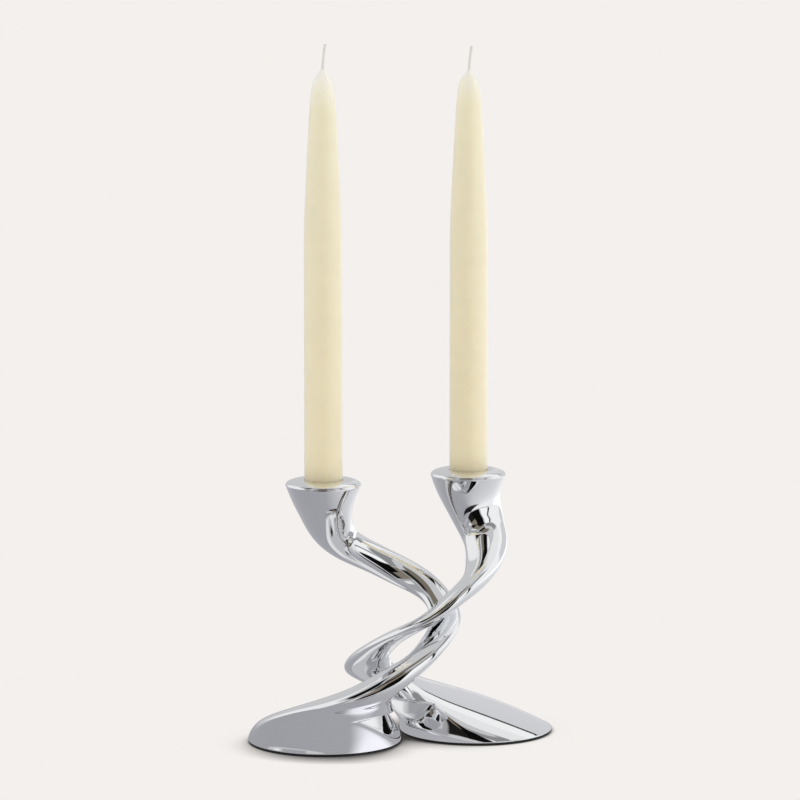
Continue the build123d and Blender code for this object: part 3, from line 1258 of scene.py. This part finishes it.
        # One side is twice as far, so that the line between the floor's two triangles is out of sight.
        far = 2 * half
        corners = [(-half, -half, 0), (far, -half, 0), (far, half, 0), (-half, half, 0)]
        mesh.from_pydata(corners, [], [(0, 1, 2, 3)])
        mesh.materials.append(material)
        add_object("studio_floor", mesh)

    def world(self) -> None:
        """Fill the room with even light, grey to reflections and pale to the camera."""
        world = bpy.data.worlds.new("Studio room")
        bpy.context.scene.world = world
        world.use_nodes = True
        tree = world.node_tree
        tree.nodes.clear()
        path = add_node(tree, "ShaderNodeLightPath").outputs
        place = add_node(tree, "ShaderNodeTexCoord")
        split = add_node(tree, "ShaderNodeSeparateXYZ", {}, {"Vector": place.outputs["Generated"]})
        sides = add_node(tree, RANGE, {"From Min": -1.0, "From Max": 1.0}, {"Value": split.outputs["X"]})
        around = add_node(tree, "ShaderNodeValToRGB", {}, {"Fac": sides})
        set_stops(around, {0.0: "#F0EFEC", 1.0: "#FFFEFA", 0.45: "#B4B2AE"})
        room = add_node(tree, "ShaderNodeBackground", {"Strength": self.room_strength}, {"Color": around})
        grey = add_node(tree, "ShaderNodeBackground", {"Color": linear(self.room_grey)})
        pale = add_node(tree, "ShaderNodeBackground", {"Color": linear(self.backdrop)})
        metal = add_node(tree, "ShaderNodeMixShader", {}, {0: path["Is Glossy Ray"], 1: room, 2: grey})
        seen = add_node(tree, "ShaderNodeMixShader", {}, {0: path["Is Camera Ray"], 1: metal, 2: pale})
        add_node(tree, "ShaderNodeOutputWorld", {}, {"Surface": seen})

    def light(self) -> None:
        """Hang the soft lamps; reflections see the cards instead."""
        for lamp in self.lamps:
            glow = bpy.data.lights.new(lamp.name, "AREA")
            glow.shape = "RECTANGLE"
            glow.size, glow.size_y = self.lamp_size
            glow.energy = lamp.watts
            soft = add_object(lamp.name, glow)
            soft.location = (lamp.across, self.lamp_front, self.lamp_height)
            aim = Vector(self.lamp_aim) - soft.location
            soft.rotation_euler = aim.to_track_quat("-Z", "Y").to_euler()
            soft.visible_glossy = False

    def card_glow(self, card: Card) -> Material:
        """Make the glow of one card, which fades out towards its edges.

        Args:
            card: The card's shade and the width of its soft edge.

        Returns:
            The card's material.
        """
        material, tree = new_material(card.name)
        place = add_node(tree, "ShaderNodeTexCoord")
        split = add_node(tree, "ShaderNodeSeparateXYZ", {}, {"Vector": place.outputs["UV"]})
        ease = {"interpolation_type": "SMOOTHSTEP", "From Max": card.fade}
        inside = []
        for axis in ("X", "Y"):
            near = add_node(tree, MATH, {"operation": "PINGPONG", 1: 0.5}, {0: split.outputs[axis]})
            inside.append(add_node(tree, RANGE, ease, {"Value": near}))
        cover = add_node(tree, MATH, {"operation": "MULTIPLY"}, {0: inside[0], 1: inside[1]})
        clear = add_node(tree, "ShaderNodeBsdfTransparent")
        glow = add_node(tree, "ShaderNodeEmission", {"Color": linear(card.shade)})
        seen = add_node(tree, "ShaderNodeMixShader", {}, {0: cover, 1: clear, 2: glow})
        add_node(tree, "ShaderNodeOutputMaterial", {}, {"Surface": seen})
        return material

    def hang(self, card: Card) -> None:
        """Hang one card as a patch of a sphere around the candlesticks.

        Args:
            card: The card's edges, shade and distance.
        """
        columns, rows = self.card_columns, self.card_rows
        spots = [(i / columns, j / rows) for j in range(rows + 1) for i in range(columns + 1)]
        points = []
        for u, v in spots:
            up = math.radians(card.low + (card.high - card.low) * v)
            across = math.radians(card.west + (card.east - card.west) * u + card.lean * (v - 0.5))
            way = Vector((math.sin(across) * math.cos(up), -math.cos(across) * math.cos(up), math.sin(up)))
            points.append(Vector(self.aim) + way * card.distance)
        wide = columns + 1
        corners = [j * wide + i for j in range(rows) for i in range(columns)]
        faces = [(k, k + 1, k + wide + 1, k + wide) for k in corners]
        mesh = bpy.data.meshes.new(card.name)
        mesh.from_pydata(points, [], faces)
        layer = mesh.uv_layers.new(name="UVMap")
        for loop in mesh.loops:
            layer.data[loop.index].uv = spots[loop.vertex_index]
        mesh.materials.append(self.card_glow(card))
        sheet = add_object(card.name.replace(" ", "_").lower(), mesh)
        sheet.visible_camera = False
        sheet.visible_diffuse = False
        sheet.visible_shadow = False
        sheet.visible_transmission = False

    def camera(self) -> None:
        """Set the camera where the product was seen from."""
        lens = bpy.data.cameras.new("Product camera")
        lens.lens = self.lens_mm
        lens.sensor_width = self.sensor_mm
        lens.clip_end = self.clip_end
        camera = add_object("Product camera", lens)
        camera.location = self.camera_spot
        camera.rotation_euler = (math.radians(90 - self.camera_dip), 0, 0)
        bpy.context.scene.camera = camera


def main() -> None:
    """Load the frame, dress both candlesticks and set up the studio."""
    logging.basicConfig(level=logging.INFO, format="%(name)s %(message)s")
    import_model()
    bpy.context.scene.view_settings.view_transform = "Standard"
    trees = {"skin": skin_tree(), "strand": strand_tree()}
    finishes = {
        "metal": PolishedAluminium().build(),
        "rubber": FootRubber().build(),
        "wax": CandleWax().build(),
        "cotton": CottonWick().build(),
    }
    left = Candlestick(Side.LEFT, Placement(foot=(-43.987, -0.249), turn=0.0))
    right = Candlestick(
        Side.RIGHT, Placement(foot=(43.988, 30.214), turn=264.5), candle=Candle(length=249.5)
    )
    for stick in (left, right):
        for piece in stick.build(trees, finishes):
            LOG.info("%s: %d faces", piece.name, len(piece.data.polygons))
    Studio().build()


if __name__ == "__main__":
    main()
